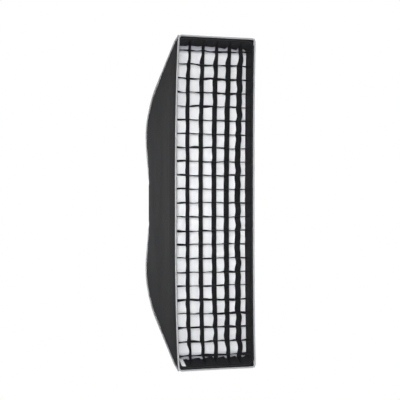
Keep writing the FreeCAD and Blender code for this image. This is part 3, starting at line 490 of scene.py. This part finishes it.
# %% Cloth helpers
def lay(bm, columns, rows, place, flat, to_edge=None):
    """Adds a grid to bm, carries each point to place(u, v), and lays its UV map flat in metres.
    to_edge(u, v), if given, is the distance to the nearest sewn edge, which the stitches need."""
    uv = bm.loops.layers.uv.verify()
    if to_edge:
        from_seam = bm.verts.layers.float.get("from_seam") or bm.verts.layers.float.new("from_seam")
    points = bmesh.ops.create_grid(bm, x_segments=columns, y_segments=rows, size=0.5)["verts"]
    spots = {point: (point.co.x + 0.5, point.co.y + 0.5) for point in points}
    for point, (u, v) in spots.items():
        point.co = place(u, v)
        if to_edge:
            point[from_seam] = to_edge(u, v)
    for face in {face for point in points for face in point.link_faces}:
        face.smooth = True
        for loop in face.loops:
            u, v = spots[loop.vert]
            loop[uv].uv = (u * flat[0], v * flat[1])
    return points


def finish_cloth(name, bm, thickness, finish, body, nodes, closed=False, slot=None):
    """Makes the object of a laid cloth, gives it thickness, parents it to its body and hides the model's nodes
    that it replaces.
    """
    if closed:
        bmesh.ops.remove_doubles(bm, verts=bm.verts, dist=0.00002)
        bmesh.ops.recalc_face_normals(bm, faces=bm.faces)
    data = bpy.data.meshes.new(name)
    bm.to_mesh(data)
    bm.free()
    data.materials.append(finish)
    cloth = bpy.data.objects.new(name, data)
    scene.collection.objects.link(cloth)
    if thickness:
        wall = cloth.modifiers.new("thickness", "SOLIDIFY")
        wall.thickness = thickness
        wall.offset = 0
        wall.use_even_offset = False
    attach(cloth, body)
    slot or finish.name
    if nodes:
        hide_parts(*nodes)
    print(name, len(data.polygons), "faces")
    return cloth


def crease(point, size, height, seed):
    """Soft uneven ripples: a distance to move a point by."""
    return height * noise.noise(point / size + Vector((seed, 2 * seed, 3 * seed)))


# %% [markdown]
# ## The rim bows
#
# The rods' tips hold the rim only at its corners. Between them the long edges hang back about 20 mm and
# bulge out a little over the grid. Every sewn piece near the front has to share that bow, or gaps open
# between them, so it is one function that fades out behind the lip.

# %% Bow of the front
RIM_SETBACK = 0.020
END_SETBACK = 0.003
RIM_BULGE = 0.004
BOW_POWER = 3


def bowed(point):
    """Carries a point of the straight front to where the fabric really hangs."""
    held = 1 - smooth(point.y - RIM_Y, 0.06, 0.26)
    along = 1 - min(1.0, abs(point.z) / HALF_HEIGHT) ** BOW_POWER
    across = 1 - min(1.0, abs(point.x) / HALF_WIDTH) ** 2
    back = RIM_SETBACK * along + END_SETBACK * across * (1 - along)
    out = RIM_BULGE * along * point.x / HALF_WIDTH
    return point + held * Vector((out, back, 0))


# %% [markdown]
# ## Shell panels and linings
#
# The shell is four panels of nylon drawn tight between the rods. Between two rods the cloth pulls inward,
# most where the panel is tallest, so its outline is hollow at mid height. The silver lining follows the
# same surface a little further in and starts behind the lip.

# %% Panel surfaces
SIDE_PULL = 0.012
END_PULL = 0.005
PULL_ENDS = 0.88                 # share of the seam where the panels are straight again, over the lip
NYLON, LINING, GAP = 0.0010, 0.0006, 0.0003


def side_cloth(u, v, sign=1, inset=0.0):
    """A point of a side panel: u from the rear to the rim, v from 0 at the bottom seam to 1 at the top."""
    point, way = seam_at(u)
    w = 2 * v - 1
    slack = 1 - w * w
    outward = Vector((-way.y, way.x, 0)).normalized()
    flat = Vector((point.x, point.y, w * (point.z - inset)))
    pull = slack * SIDE_PULL * math.sin(math.pi * min(1, u / PULL_ENDS)) ** 0.8
    ripple = slack * crease(flat * Vector((1, 1, 0.5)), 0.07, 0.0016 * (1 - smooth(u, 0.8, 0.95)), 4 + sign)
    spot = flat - outward * (inset + pull + ripple)
    return bowed(Vector((sign * spot.x, spot.y, spot.z)))


def end_cloth(u, v, sign=1, inset=0.0):
    """The same for the top and bottom panels, with v from the left seam to the right."""
    point, way = seam_at(u)
    w = 2 * v - 1
    slack = 1 - w * w
    outward = Vector((0, way.z, -way.y)).normalized()
    flat = Vector((w * (point.x - inset), point.y, point.z))
    pull = slack * END_PULL * math.sin(math.pi * min(1, u / PULL_ENDS)) ** 0.8
    ripple = slack * crease(flat, 0.06, 0.0014 * (1 - smooth(u, 0.8, 0.95)), 9 + sign)
    spot = flat - outward * (inset + pull + ripple)
    return bowed(Vector((spot.x, spot.y, sign * spot.z)))


SIDES = {"left": (side_cloth, -1), "right": (side_cloth, 1),
         "bottom": (end_cloth, -1), "top": (end_cloth, 1)}


# %% Shell panels
def half_span(side, u):
    """Half the panel's width at share u of the seam."""
    point = seam_at(u)[0]
    return point.z if side in ("left", "right") else point.x


def flat_size(side, first=0.0, last=1.0, steps=60):
    """Length, width and area of a panel's flat cut between two shares of the seam."""
    length = area = 0.0
    for i in range(steps):
        u = first + (last - first) * (i + 0.5) / steps
        way = seam_at(u)[1]
        ahead = math.hypot(way.y, way.x if side in ("left", "right") else way.z)
        step = ahead * (last - first) * SEAM_LENGTH / steps
        length += step
        area += 2 * half_span(side, u) * step
    return length, 2 * half_span(side, last), area


def shell_panel(side):
    surface, sign = SIDES[side]
    length, width, area = flat_size(side)

    def to_edge(u, v):
        return min((1 - abs(2 * v - 1)) * half_span(side, u), (1 - u) * SEAM_LENGTH)

    bm = bmesh.new()
    lay(bm, 76, 110 if width > 1 else 36, lambda u, v: surface(u, v, sign, NYLON / 2),
        (length, width), to_edge)
    panel = finish_cloth("shell_" + side, bm, NYLON, shell_nylon, "softbox", ["panel_" + side])
    return panel


for side in SIDES:
    shell_panel(side)

# %% Silver linings
LINING_END = 1 - 0.066 / SEAM_LENGTH


def silver_panel(side):
    surface, sign = SIDES[side]
    inset = NYLON + GAP + LINING / 2
    length, width, area = flat_size(side, 0.0, LINING_END)
    bm = bmesh.new()
    lay(bm, 60, 96 if width > 1 else 30,
        lambda u, v: surface(0.004 + u * (LINING_END - 0.004), v, sign, inset), (length, width))
    cloth = finish_cloth("silver_" + side, bm, LINING, silver_lining, "softbox", ["lining_" + side])


for side in SIDES:
    silver_panel(side)

# %% [markdown]
# ## Piping
#
# A welt of grey tape round a cord covers each corner seam and the rim. A curve with a round bevel is the
# quickest way to a tube along a path, and as a mesh it gets a UV map that runs along it. The tape is sewn
# down, so the welt swells and dips a little between stitches.


# %% Piping along a path
def tube(name, points, radius, loop, finish, body, nodes):
    """A round tube along a path, as a mesh that rides on a body."""
    curve = bpy.data.curves.new(name, "CURVE")
    curve.dimensions = "3D"
    curve.bevel_depth = radius
    curve.bevel_resolution = 3
    curve.use_fill_caps = not loop
    spline = curve.splines.new("POLY")
    spline.points.add(len(points) - 1)
    for knot, point in zip(spline.points, points):
        knot.co = (*point, 1)
        knot.radius = 1 + 0.07 * noise.noise(point / 0.012)
    spline.use_cyclic_u = loop
    holder = bpy.data.objects.new(name, curve)
    data = bpy.data.meshes.new_from_object(holder)
    data.name = name
    bpy.data.objects.remove(holder)
    data.materials.clear()
    data.materials.append(finish)
    for face in data.polygons:
        face.use_smooth = True
    piece = bpy.data.objects.new(name, data)
    scene.collection.objects.link(piece)
    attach(piece, body)
    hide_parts(*nodes)
    print(name, len(data.polygons), "faces")
    return piece


WELT = 0.003                     # radius of the piping
WELT_OUT = 0.0026                # how far its middle stands off the seam, each way
REAR_TRIM = 0.012
for corner, (x, z) in CORNERS.items():
    path = []
    for i in range(151):
        point = seam_at(REAR_TRIM + (1 - REAR_TRIM) * i / 150)[0]
        way = seam_at(REAR_TRIM + (1 - REAR_TRIM) * i / 150)[1]
        outward = Vector((0, way.z, -way.y)).normalized()
        place = point + outward * WELT_OUT + Vector((0.8 * WELT_OUT, 0, 0))
        path.append(Vector((x * place.x, place.y, z * place.z)))
    tube("welt_" + corner, path, WELT, False, grey_piping, "softbox", ["seam_piping_" + corner])

# %% [markdown]
# ## The recessed front
#
# Inside the rim a lip of black nylon runs back 60 mm. The hook-and-loop tapes of the diffuser and of the
# grid lie on it one in front of the other. Lip, tapes and borders are all the same shape: a band round a
# rounded rectangle that narrows towards the back. One function gives that band at any depth and inset.

# %% Bands round the front
GRID_FRONT, GRID_DEEP = 0.004, 0.044
GRID_REAR = GRID_FRONT + GRID_DEEP
TOP_DRAWN, BOTTOM_DRAWN = 0.013, 0.008


def forward(z):
    """How far the rear of the grid and the diffuser are drawn forward near the top and the bottom."""
    return (TOP_DRAWN if z > 0 else BOTTOM_DRAWN) * smooth(abs(z), 0.544, 0.570)


LIP_DEPTH, LIP_LEAN = 0.060, 0.0055
LIP_CORNER = 0.026
TAPE, STRIP = 0.0012, 0.0012
LAYER = NYLON + GAP
front_run = SEAM_KNOTS[2] - SEAM_KNOTS[3]
END_SLOPE = math.hypot(1, front_run.z / front_run.y)


def lip_x(depth, inset=0.0):
    """Half width of the recess at a depth behind the rim."""
    return HALF_WIDTH - LAYER - LIP_LEAN * depth / LIP_DEPTH - inset


def lip_z(depth, inset=0.0):
    """Half height of the recess at a depth behind the rim."""
    return HALF_HEIGHT + front_run.z / front_run.y * depth - (LAYER + inset) * END_SLOPE


def round_outline(u, half_width, half_height, radius):
    """A place on a rounded rectangle. Half a lap is a long side, a corner, a short side and a corner."""
    turn = 1 if u % 1 < 0.4999999 else -1
    share = (u % 0.5) / 0.5 if turn == 1 else (u % 1 - 0.5) / 0.5
    w, h = half_width - radius, half_height - radius
    if share < 0.60:
        x, z = half_width, h * (share / 0.30 - 1)
    elif share < 0.68:
        angle = (share - 0.60) / 0.08 * math.pi / 2
        x, z = w + radius * math.cos(angle), h + radius * math.sin(angle)
    elif share < 0.92:
        x, z = w * (1 - (share - 0.68) / 0.12), half_height
    else:
        angle = (1 + (share - 0.92) / 0.08) * math.pi / 2
        x, z = radius * math.cos(angle) - w, h + radius * math.sin(angle)
    return turn * x, turn * z


def band_point(u, v, front, rear, inset):
    """A place on a band round the recess, v from its front edge to its rear edge."""
    depth = front + v * (rear - front)
    x, z = round_outline(u, lip_x(depth, inset), lip_z(depth, inset), LIP_CORNER - inset)
    return bowed(Vector((x, RIM_Y + depth, z)))


ROUND = 2 * (1.200 + 0.300)


def band(name, front, rear, inset, thickness, finish, body, nodes, ripple=0.0, slot=None, pull=None):
    """A closed band of cloth in the recess, laid as one sheet. pull(spot, v), if given, says how far
    the cloth is pulled inward at a place, and then its rear edge is drawn forward with the strips."""
    wide = rear - front

    def place(u, v):
        drawn = forward(band_point(u, v, front, rear, inset).z) if pull else 0.0
        spot = band_point(u, v, front, rear - drawn, inset + thickness / 2)
        inward = Vector((-spot.x, 0, -spot.z)).normalized() * abs(crease(spot, 0.03, ripple, inset * 1e4))
        return spot + inward + (pull(spot, v) if pull else Vector())

    bm = bmesh.new()
    lay(bm, 480, max(3, round(wide / 0.006)), place, (ROUND, wide),
        lambda u, v: min(v, 1 - v) * wide)
    cloth = finish_cloth(name, bm, thickness, finish, body, nodes, closed=True, slot=slot)
    return cloth


band("front_lip", 0.001, LIP_DEPTH, 0.0, NYLON, shell_nylon, "softbox",
     ["lip_left", "lip_right", "lip_top", "lip_bottom"])
GRID_TAPE, DIFFUSER_TAPE, TAPE_WIDTH = 0.006, 0.033, 0.018
for owner, start in (("grid", GRID_TAPE), ("diffuser", DIFFUSER_TAPE)):
    band(owner + "_loop_band", start, start + TAPE_WIDTH, LAYER, TAPE, hook_and_loop, "softbox",
         [owner + "_loop_tape"])
    band(owner + "_hook_band", start, start + TAPE_WIDTH, LAYER + TAPE + GAP, TAPE, hook_and_loop, owner,
         [owner + "_hook_border"])

# %% Rim piping
RIM_WELT_Y = RIM_Y - 0.0043
rim_path = []
for i in range(400):
    x, z = round_outline(i / 400, HALF_WIDTH - 0.0005, HALF_HEIGHT - 0.0005, 0.013)
    rim_path.append(bowed(Vector((x, RIM_WELT_Y, z))))
tube("rim_welt", rim_path, WELT, True, grey_piping, "softbox", ["rim_piping"])

# %% [markdown]
# ## The diffuser
#
# The diffuser is one sheet of white cloth on its own hook-and-loop border, just behind the grid. It is not
# drum-tight: long shallow waves cross it and small folds run in from its top and bottom edges, where the
# cloth is gathered a little to meet the sloping lip.

# %% Diffuser sheet
DIFFUSER_DEPTH = 0.0516
diffuser_x = lip_x(DIFFUSER_DEPTH, LAYER + TAPE + GAP)
diffuser_z = lip_z(DIFFUSER_DEPTH, LAYER + TAPE + GAP)


def diffuser_place(u, v):
    depth = DIFFUSER_DEPTH - forward((2 * v - 1) * diffuser_z)
    x, z = (2 * u - 1) * diffuser_x, (2 * v - 1) * lip_z(depth, LAYER + TAPE + GAP)
    edge = min(1.0, (diffuser_x - abs(x)) / 0.03, (diffuser_z - abs(z)) / 0.03)
    flat = Vector((x, 0, z))
    wave = crease(flat * Vector((1, 1, 0.6)), 0.045, 0.0022, 2) + crease(flat, 0.014, 0.0007, 5)
    gather = max(0.0, 1 - (diffuser_z - abs(z)) / 0.05)
    wave += gather * (0.003 + 0.005 * noise.noise(Vector(((x + 0.5 * z) / 0.022, 1.7, z / 0.08))))
    corner = LIP_CORNER - LAYER
    over = Vector((max(0.0, abs(x) - diffuser_x + corner), max(0.0, abs(z) - diffuser_z + corner)))
    if over.x and over.y:
        share = max(over) / over.length
        x -= math.copysign(over.x * (1 - share), x)
        z -= math.copysign(over.y * (1 - share), z)
    return bowed(Vector((x, RIM_Y + depth + max(0.0, edge) * (0.0015 + wave), z)))


bm = bmesh.new()
lay(bm, 90, 300, diffuser_place, (2 * diffuser_x, 2 * diffuser_z),
    lambda u, v: (1 - abs(2 * v - 1)) * diffuser_z)
diffuser = finish_cloth("diffuser_cloth", bm, 0.0006, diffusion_cloth, "diffuser", ["diffuser_sheet"])

# %% [markdown]
# ## The egg-crate grid
#
# Six by twenty-four cells of black strip keep the light from spreading. The strips are cloth, so no cell is
# quite square: each length between two crossings bellies to one side, more at its free rear edge than at
# the front one, and most of all near the top and bottom, where the sloping border slackens them. Random
# numbers from a fixed seed give every cell its own belly.

# %% Strips of the grid
COLUMNS, ROWS = 6, 24
CELL_HEIGHT = 0.0502
BORDER_INSET = NYLON + 2 * TAPE + 3 * GAP
edge_x = [lip_x(depth, BORDER_INSET + STRIP / 2) for depth in (GRID_FRONT, GRID_REAR)]
edge_z = lip_z(GRID_FRONT, BORDER_INSET + STRIP / 2)
rung_heights = [CELL_HEIGHT * (i - ROWS / 2) for i in range(1, ROWS)]
WANDER = {1: (-0.002, 0.000, 0.000), 2: (0.004, 0.003, 0.004), 3: (0.009, 0.007, 0.008),
          4: (0.012, 0.008, 0.008), 5: (0.009, 0.004, 0.005)}      # at the top, the middle and the bottom


def upright_x(column, depth, z):
    """Where an upright stands, before it bellies. They close in towards the back and wander a little."""
    share = (depth - GRID_FRONT) / GRID_DEEP
    top, middle, bottom = WANDER[column]
    ends = top if z > 0 else bottom
    drift = middle + (ends - middle) * smooth(abs(z), 0.05, 0.50)
    return (2 * column / COLUMNS - 1) * (edge_x[0] + share * (edge_x[1] - edge_x[0])) + drift


def strip_depth(v, z):
    """How far back a place on a strip lies: the strips are pushed forward where the diffuser comes close."""
    return GRID_FRONT + v * (GRID_DEEP - forward(z))


def belly(place, crossings, swells, turns):
    """Sideways swing of a strip between its crossings: a half wave of its own size in each cell."""
    for first, last, swell, turn in zip(crossings, crossings[1:], swells, turns):
        if first <= place <= last:
            share = (place - first) / (last - first)
            return swell * math.sin(math.pi * share), turn * math.sin(2 * math.pi * share)
    return 0.0, 0.0


grid_bm = bmesh.new()
for column in range(1, COLUMNS):
    crossings = [-0.62] + rung_heights + [0.62]
    least, front_share = (0.0045, 0.85) if column == COLUMNS - 1 else (0.0015, 0.25)
    looseness = [least + (0.0070 - least) * abs(z / edge_z) ** 2.5 for z in crossings[:-1]]
    swells = [size * chance.uniform(-0.3, 1.1) for size in looseness]
    turns = [0.4 * size * chance.uniform(-1, 1) for size in looseness]

    def upright(u, v):
        depth = strip_depth(v, (2 * u - 1) * HALF_HEIGHT)
        z = (2 * u - 1) * lip_z(depth, BORDER_INSET + STRIP + GAP)
        swell, turn = belly(z, crossings, swells, turns)
        free = front_share + (1 - front_share) * v
        return bowed(Vector((upright_x(column, depth, z) + free * (swell + turn), RIM_Y + depth, z)))

    lay(grid_bm, 240, 5, upright, (2 * edge_z, GRID_DEEP))
uprights = finish_cloth("upright_strips", grid_bm, STRIP * 0.7, grid_fabric, "grid", ["grid_uprights"])

# %% Crosspieces
grid_bm = bmesh.new()
for height in rung_heights:
    crossings = [(2 * i / COLUMNS - 1) * edge_x[0] for i in range(COLUMNS + 1)]
    lifts = [chance.uniform(-0.0020, 0.0020) for cell in range(COLUMNS)]
    twists = [chance.uniform(-0.0055, 0.0055) for cell in range(COLUMNS)]
    tilt = [chance.uniform(-0.0016, 0.0016) for cell in range(COLUMNS + 1)]
    hitch = chance.uniform(-0.006, 0.010)            # how far the left end is sewn askew

    def crosspiece(u, v):
        depth = strip_depth(v, height)
        half = lip_x(depth, BORDER_INSET + STRIP + GAP)
        x = (2 * u - 1) * half
        cell = min(COLUMNS - 1, int(u * COLUMNS))
        share = u * COLUMNS - cell
        swing = math.sin(math.pi * share)
        drop = swing * (lifts[cell] + (v - 0.5) * twists[cell])
        drop += tilt[cell] * (1 - share) + tilt[cell + 1] * share
        drop += hitch * (v - 0.5) * max(0.0, 1 - 9 * u) ** 1.5
        limit = lip_z(depth, BORDER_INSET + STRIP)
        z = max(-limit, min(limit, height + drop))
        return bowed(Vector((x, RIM_Y + depth, z)))

    lay(grid_bm, 72, 5, crosspiece, (2 * edge_x[0], GRID_DEEP))
crosspieces = finish_cloth("cross_strips", grid_bm, STRIP * 1.7, grid_fabric, "grid", ["grid_crosspieces"])


# %% Border of the grid
HEM_PULL = {1: (0.004, 0.004), 2: (0.004, 0.009), 3: (0.004, 0.013), 4: (0.009, 0.010), 5: (0.011, 0.009),
            6: (0.009, 0.002)}                    # how far each cell pulls the hem, at the top and the bottom


def hem_pull(spot, v):
    """The last cells pull the rear edge of the border's short sides inward, most just before an upright."""
    if abs(spot.z) < lip_z(GRID_REAR, BORDER_INSET + 0.015):
        return Vector()
    stands = [-edge_x[1]] + [upright_x(column, GRID_DEEP, spot.z) for column in range(1, COLUMNS)] + [edge_x[1]]
    for column, (left, right) in enumerate(zip(stands, stands[1:]), start=1):
        if left <= spot.x <= right:
            share = (spot.x - left) / (right - left)
            size = HEM_PULL[column][0 if spot.z > 0 else 1]
            return Vector((0, 0, -math.copysign(size, spot.z))) * v * v * share * (1 - smooth(share, 0.8, 1.0))
    return Vector()


band("grid_border", GRID_FRONT, GRID_REAR, BORDER_INSET, STRIP, grid_hem, "grid", [], ripple=0.0025,
     slot="grid_fabric", pull=hem_pull)

# %% [markdown]
# ## Label
#
# A short white tape is sewn to the grid's lower border at its left corner. It carries no text. It is held
# by stitches at its two ends, so its middle lifts a little off the cloth.

# %% Label tab
low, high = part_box("label_tab")


def label_place(u, v):
    """A place on the tape, which follows the border round its corner and over its ripples."""
    depth = low.y - RIM_Y + v * (high.y - low.y)
    x = low.x + u * (high.x - low.x)
    corner = LIP_CORNER - BORDER_INSET
    over = max(0.0, lip_x(depth, BORDER_INSET) * -1 + corner - x)
    rise = corner - math.sqrt(corner ** 2 - over ** 2)
    spot = bowed(Vector((x, RIM_Y + depth, -lip_z(depth, BORDER_INSET + STRIP + GAP) + rise)))
    rise = abs(crease(spot, 0.03, 0.0025, (BORDER_INSET + STRIP / 2) * 1e4))
    lift = 0.0006 + 0.0014 * math.sin(math.pi * v) + 0.0005 * math.sin(2 * math.pi * u) * v
    return spot - hem_pull(spot, v) * -1 + Vector((0, 0, rise + lift))


bm = bmesh.new()
lay(bm, 12, 20, label_place, (high.x - low.x, high.y - low.y))
label = finish_cloth("label", bm, 0.0005, woven_label, "grid", ["label_tab"])

# %% [markdown]
# ## The inner baffle
#
# Half way back a second, smaller sheet evens out the light. Six elastic straps hold it to the side panels,
# and because they pull only at their ends, its edges are scalloped between them.

# %% Baffle and straps
baffle_low, baffle_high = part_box("baffle_sheet")
strap_low, strap_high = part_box("baffle_straps")
stud_low, stud_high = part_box("baffle_press_studs")
STRAP_HEIGHTS = (-0.300, 0.0, 0.300)
STRAP_WIDE = 0.012
baffle_y = (baffle_low.y + baffle_high.y) / 2


def baffle_place(u, v):
    x, z = (2 * u - 1) * baffle_high.x, (2 * v - 1) * baffle_high.z
    nearest = min(abs(abs(z) - height) for height in STRAP_HEIGHTS)
    scallop = 0.007 * smooth(nearest, 0.008, 0.14)
    x -= (2 * u - 1) * scallop
    z -= (2 * v - 1) * 0.008 * (1 - (2 * u - 1) ** 2)
    sag = crease(Vector((x, 0, z)), 0.08, 0.0035, 7) * (1 - abs(2 * u - 1)) ** 0.5
    return Vector((x, baffle_y - abs(sag), z))


bm = bmesh.new()
lay(bm, 30, 100, baffle_place, (2 * baffle_high.x, 2 * baffle_high.z),
    lambda u, v: min(min(u, 1 - u) * 0.19, min(v, 1 - v) * 0.68))
baffle = finish_cloth("baffle_cloth", bm, 0.0008, diffusion_cloth, "softbox", ["baffle_sheet"])


def wall_x(y, z):
    """Half width of the lined shell at a place: the share of the seam there is found by halving."""
    near, far = 0.0, 1.0
    for _ in range(24):
        middle = (near + far) / 2
        point = seam_at(middle)[0]
        spot = side_cloth(middle, 0.5 + 0.5 * min(1, abs(z) / point.z) * math.copysign(1, z), 1, 0.0022)
        near, far = (middle, far) if spot.y > y else (near, middle)
    return spot.x


bm = bmesh.new()
for height in STRAP_HEIGHTS:
    for sign in (-1, 1):
        inner, wall = stud_high.x - 0.017, wall_x(strap_low.y, height)

        def strap(u, v):
            x = inner + u * (wall - inner)
            sag = 0.0012 * math.sin(math.pi * u) * u
            return Vector((sign * x, (strap_low.y + strap_high.y) / 2 + sag, height + (v - 0.5) * STRAP_WIDE))

        lay(bm, 16, 4, strap, (wall - inner, STRAP_WIDE))
straps = finish_cloth("elastic_straps", bm, 0.0006, elastic, "softbox", ["baffle_straps"])

# %% [markdown]
# ## The collar
#
# Behind the shell the nylon closes over the ring's plate and is gathered by an elastic round its hub. It
# is a bag seen end on: a rounded rectangle at the shell, turning in to a circle at the hub, with folds that
# deepen towards the elastic.

# %% Collar
collar_low, collar_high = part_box("rear_collar")
elastic_low, elastic_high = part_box("collar_elastic")
HUB_HOLE = (elastic_high.x + elastic_low.x) / 2 + 0.0664


def collar_place(u, v):
    half_x, half_z = collar_high.x - NYLON / 2, collar_high.z - NYLON / 2
    x, z = round_outline(u, half_x, half_z, 0.012)
    angle = math.atan2(z, x)
    ring = Vector((HUB_HOLE * math.cos(angle), 0, HUB_HOLE * math.sin(angle)))
    turn = smooth(v, 0.42, 0.62)
    inward = smooth(v, 0.45, 1.0)
    spot = Vector((x, 0, z)).lerp(ring, inward)
    deep = collar_high.y - NYLON / 2 - collar_low.y - GAP
    spot.y = collar_low.y + GAP + deep * (1 - (1 - min(1, v / 0.55)) ** 2)
    fold = 0.0011 * math.sin(46 * angle) * inward * (1 - 0.3 * inward)
    return spot - Vector((0, 0.0012 * inward + abs(fold), 0))


bm = bmesh.new()
lay(bm, 400, 18, collar_place, (0.62, 0.032), lambda u, v: v * 0.032)
collar = finish_cloth("collar_cloth", bm, NYLON * 0.9, shell_nylon, "softbox", ["rear_collar"], closed=True)
